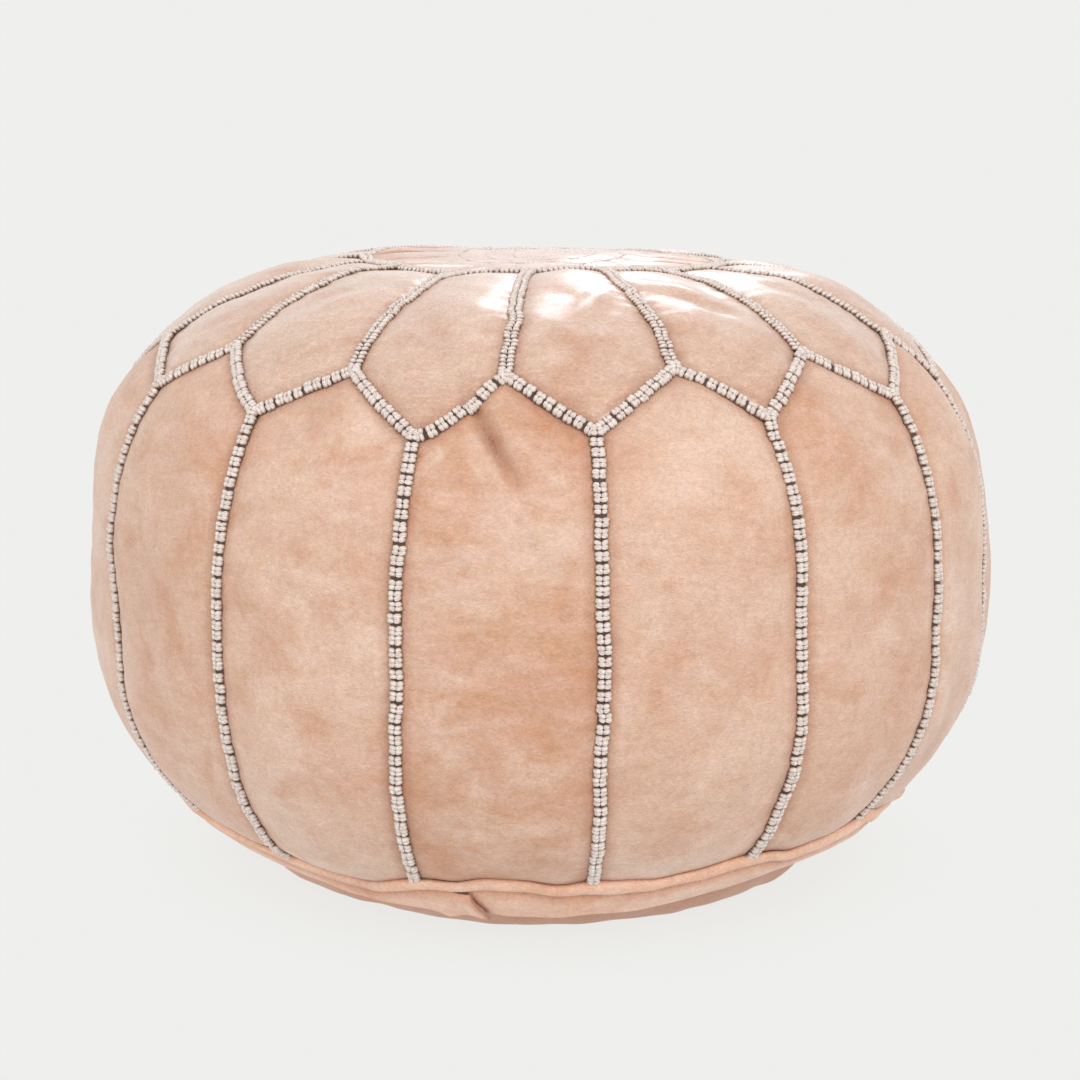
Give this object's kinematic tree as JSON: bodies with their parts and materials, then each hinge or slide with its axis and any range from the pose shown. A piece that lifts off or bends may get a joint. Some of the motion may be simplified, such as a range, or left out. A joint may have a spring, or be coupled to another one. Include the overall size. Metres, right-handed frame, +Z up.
{
  "type": "leather pouf",
  "caption": "Round stuffed leather floor pouf with gabled side panels, crown petals, plaited seam braids, an embroidered medallion and a zipped flat base.",
  "frame": {"origin": "middle of the face that rests on the floor", "axes": "+Z up along the axis of the pouf; one vertical seam faces -Y; the zip under the base lies along X and closes towards +X"},
  "size_m": [0.526, 0.526, 0.3483],
  "materials": {
    "panel_leather": "satin",
    "petal_leather": "satin",
    "base_leather": "matte",
    "braid_thread": "satin",
    "filling": "matte",
    "zip_cloth": "matte",
    "zip_metal": "satin"
  },
  "bodies": {
    "cover": {"side_panel_01": "panel_leather", "side_panel_02": "panel_leather", "side_panel_03": "panel_leather", "side_panel_04": "panel_leather", "side_panel_05": "panel_leather", "side_panel_06": "panel_leather", "side_panel_07": "panel_leather", "side_panel_08": "panel_leather", "side_panel_09": "panel_leather", "side_panel_10": "panel_leather", "side_panel_11": "panel_leather", "side_panel_12": "panel_leather", "side_panel_13": "panel_leather", "side_panel_14": "panel_leather", "side_panel_15": "panel_leather", "side_panel_16": "panel_leather", "crown_petal_01": "petal_leather", "crown_petal_02": "petal_leather", "crown_petal_03": "petal_leather", "crown_petal_04": "petal_leather", "crown_petal_05": "petal_leather", "crown_petal_06": "petal_leather", "crown_petal_07": "petal_leather", "crown_petal_08": "petal_leather", "crown_petal_09": "petal_leather", "crown_petal_10": "petal_leather", "crown_petal_11": "petal_leather", "crown_petal_12": "petal_leather", "crown_petal_13": "petal_leather", "crown_petal_14": "petal_leather", "crown_petal_15": "petal_leather", "crown_petal_16": "petal_leather", "medallion_star": "petal_leather", "medallion_triangles": "panel_leather", "medallion_embroidery": "braid_thread", "ring_braid": "braid_thread", "crown_seam_braids": "braid_thread", "zigzag_seam_braids": "braid_thread", "side_seam_braids": "braid_thread", "base_welt": "base_leather", "base_band": "base_leather", "base_disc_front": "base_leather", "base_disc_back": "base_leather", "stuffing": "filling", "zip_tape_front": "zip_cloth", "zip_tape_back": "zip_cloth", "zip_teeth_front": "zip_metal", "zip_teeth_back": "zip_metal", "zip_top_stops": "zip_metal", "zip_bottom_stop": "zip_metal"},
    "slider": {"zip_slider": "zip_metal"},
    "pull_tab": {"zip_pull_tab": "zip_metal"}
  },
  "joints": [
    {"name": "zip_slide", "type": "slide", "parent": "cover", "child": "slider", "axis": [-1, 0, 0], "range_m": [0, 0.25], "deforming": ["zip_teeth_front", "zip_teeth_back"]},
    {"name": "pull_tab_swing", "type": "hinge", "parent": "slider", "child": "pull_tab", "pos_m": [0.128, 0, 0.00645], "axis": [0, -1, 0], "range_deg": [0, 150]}
  ]
}
